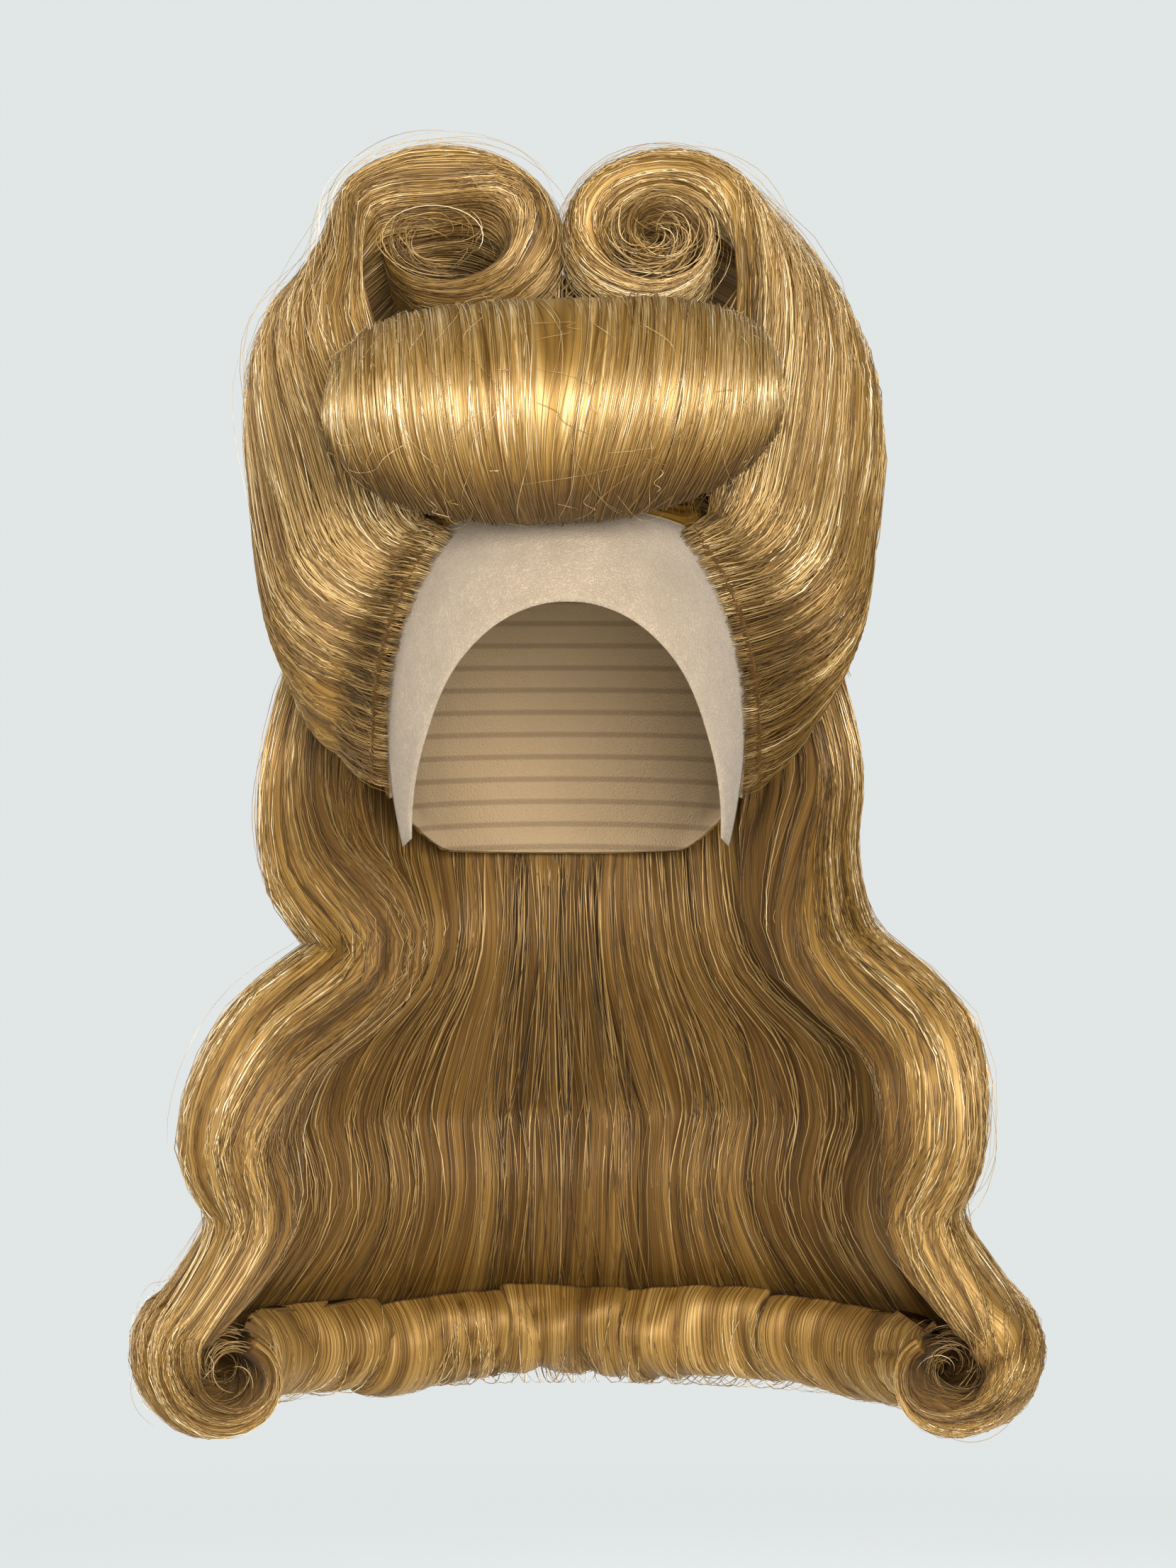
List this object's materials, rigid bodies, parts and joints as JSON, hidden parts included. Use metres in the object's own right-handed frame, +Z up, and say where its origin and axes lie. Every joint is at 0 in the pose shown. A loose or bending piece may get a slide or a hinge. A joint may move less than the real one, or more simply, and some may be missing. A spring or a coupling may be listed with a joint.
{
  "type": "rockabilly wig",
  "caption": "Golden blonde rockabilly lace-front wig with a rolled fringe, swept-up victory rolls and long waved hair whose ends are rolled under.",
  "frame": {"origin": "where the crown of the wearer's head meets the inside of the cap", "axes": "+Z up, the wearer faces -Y, +X to the wearer's left"},
  "size_m": [0.3714, 0.2966, 0.5214],
  "materials": {
    "hair": "golden blonde hair, combed and sprayed, with a silky streaked shine",
    "lace": "sheer beige lace, matt",
    "cap": "light brown cap netting, matt"
  },
  "bodies": {
    "root": {"lace_front": "lace", "cap": "cap", "root_hair": "hair", "front_roll": "hair", "victory_roll_right": "hair", "victory_roll_left": "hair", "side_lock_right": "hair", "back_lock_right_outer": "hair", "back_lock_right_inner": "hair", "back_lock_middle": "hair", "back_lock_left_inner": "hair", "back_lock_left_outer": "hair", "side_lock_left": "hair"}
  },
  "joints": []
}
